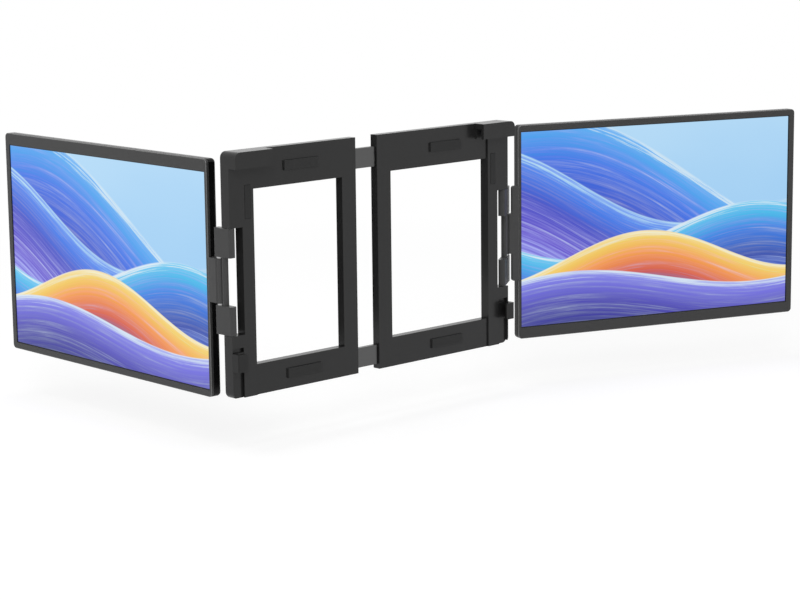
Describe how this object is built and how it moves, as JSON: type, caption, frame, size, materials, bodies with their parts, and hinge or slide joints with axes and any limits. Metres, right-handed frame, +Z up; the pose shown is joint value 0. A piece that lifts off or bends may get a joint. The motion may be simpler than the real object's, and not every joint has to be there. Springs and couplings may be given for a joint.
{
  "type": "laptop screen extender",
  "caption": "Dual-screen laptop extender: telescoping bracket that hooks over the lid, with a slim display on a double-axis folding hinge at each side.",
  "frame": {"origin": "middle of the front face of the laptop's lid, level with the foot of its display area", "axes": "+X to the user's right, -Y towards the user, +Z up the lid"},
  "size_m": [0.6006, 0.3923, 0.1926],
  "materials": {
    "frame_plastic": "satin dark grey",
    "clip_plastic": "satin",
    "rubber": "matt",
    "steel": "brushed",
    "hinge_metal": "satin dark grey",
    "bezel_plastic": "satin",
    "panel_glass": "lit picture",
    "diffuser": "white",
    "sheet": "plain",
    "board": "lacquered",
    "port_metal": "plain",
    "shell_metal": "satin anodised dark grey",
    "key_plastic": "satin"
  },
  "bodies": {
    "bracket_left": {"left_frame": "frame_plastic", "left_hook_pad": "rubber", "left_back_pads": "rubber", "left_frame_pins": "steel"},
    "left_side_clip": {"left_clip": "clip_plastic", "left_clip_pad": "rubber"},
    "left_hinge_link": {"left_link": "hinge_metal", "left_screen_pin": "steel", "left_screen_washers": "steel"},
    "left_screen": {"left_leaf": "hinge_metal", "left_leaf_screws": "steel", "left_bezel": "bezel_plastic", "left_panel": "panel_glass", "left_backlight": "diffuser", "left_chassis": "sheet", "left_board": "board", "left_ports": "port_metal", "left_shell": "shell_metal"},
    "left_power_button": {"left_power_key": "key_plastic"},
    "left_menu_button": {"left_menu_key": "key_plastic"},
    "bracket_right": {"right_frame": "frame_plastic", "right_hook_pad": "rubber", "right_back_pads": "rubber", "right_frame_pins": "steel", "upper_slide": "sheet", "lower_slide": "sheet", "slide_screws": "steel"},
    "right_side_clip": {"right_clip": "clip_plastic", "right_clip_pad": "rubber"},
    "right_hinge_link": {"right_link": "hinge_metal", "right_screen_pin": "steel", "right_screen_washers": "steel"},
    "right_screen": {"right_leaf": "hinge_metal", "right_leaf_screws": "steel", "right_bezel": "bezel_plastic", "right_panel": "panel_glass", "right_backlight": "diffuser", "right_chassis": "sheet", "right_board": "board", "right_ports": "port_metal", "right_shell": "shell_metal"},
    "right_power_button": {"right_power_key": "key_plastic"},
    "right_menu_button": {"right_menu_key": "key_plastic"}
  },
  "joints": [
    {"name": "bracket_width", "type": "slide", "parent": "bracket_left", "child": "bracket_right", "axis": [1, 0, 0], "range_m": [-0.0075, 0.04]},
    {"name": "left_link_turn", "type": "hinge", "parent": "bracket_left", "child": "left_hinge_link", "pos_m": [-0.1516, 0.0083, 0.1004], "axis": [0, 0, 1], "range_deg": [0, 90]},
    {"name": "left_screen_turn", "type": "hinge", "parent": "left_hinge_link", "child": "left_screen", "pos_m": [-0.1516, 0.0196, 0.1004], "axis": [0, 0, 1], "range_deg": [-87.1, 90]},
    {"name": "right_link_turn", "type": "hinge", "parent": "bracket_right", "child": "right_hinge_link", "pos_m": [0.1516, 0.0083, 0.1004], "axis": [0, 0, -1], "range_deg": [-55.1, 34.9]},
    {"name": "right_screen_turn", "type": "hinge", "parent": "right_hinge_link", "child": "right_screen", "pos_m": [0.16956, 0.02083, 0.1004], "axis": [0, 0, -1], "range_deg": [-144.6, 32.5]},
    {"name": "left_clip_height", "type": "slide", "parent": "bracket_left", "child": "left_side_clip", "axis": [0, 0, 1], "range_m": [-0.021, 0.003]},
    {"name": "right_clip_height", "type": "slide", "parent": "bracket_right", "child": "right_side_clip", "axis": [0, 0, 1], "range_m": [-0.021, 0.003]},
    {"name": "left_power_press", "type": "slide", "parent": "left_screen", "child": "left_power_button", "axis": [-0.0495, -0.9988, 0], "range_m": [0, 0.0005], "stiffness_N_per_m": 1500, "springref_m": -0.0002},
    {"name": "left_menu_press", "type": "slide", "parent": "left_screen", "child": "left_menu_button", "axis": [-0.0495, -0.9988, 0], "range_m": [0, 0.0005], "stiffness_N_per_m": 1500, "springref_m": -0.0002},
    {"name": "right_power_press", "type": "slide", "parent": "right_screen", "child": "right_power_button", "axis": [-0.9411, 0.3381, 0], "range_m": [0, 0.0005], "stiffness_N_per_m": 1500, "springref_m": -0.0002},
    {"name": "right_menu_press", "type": "slide", "parent": "right_screen", "child": "right_menu_button", "axis": [-0.9411, 0.3381, 0], "range_m": [0, 0.0005], "stiffness_N_per_m": 1500, "springref_m": -0.0002}
  ]
}
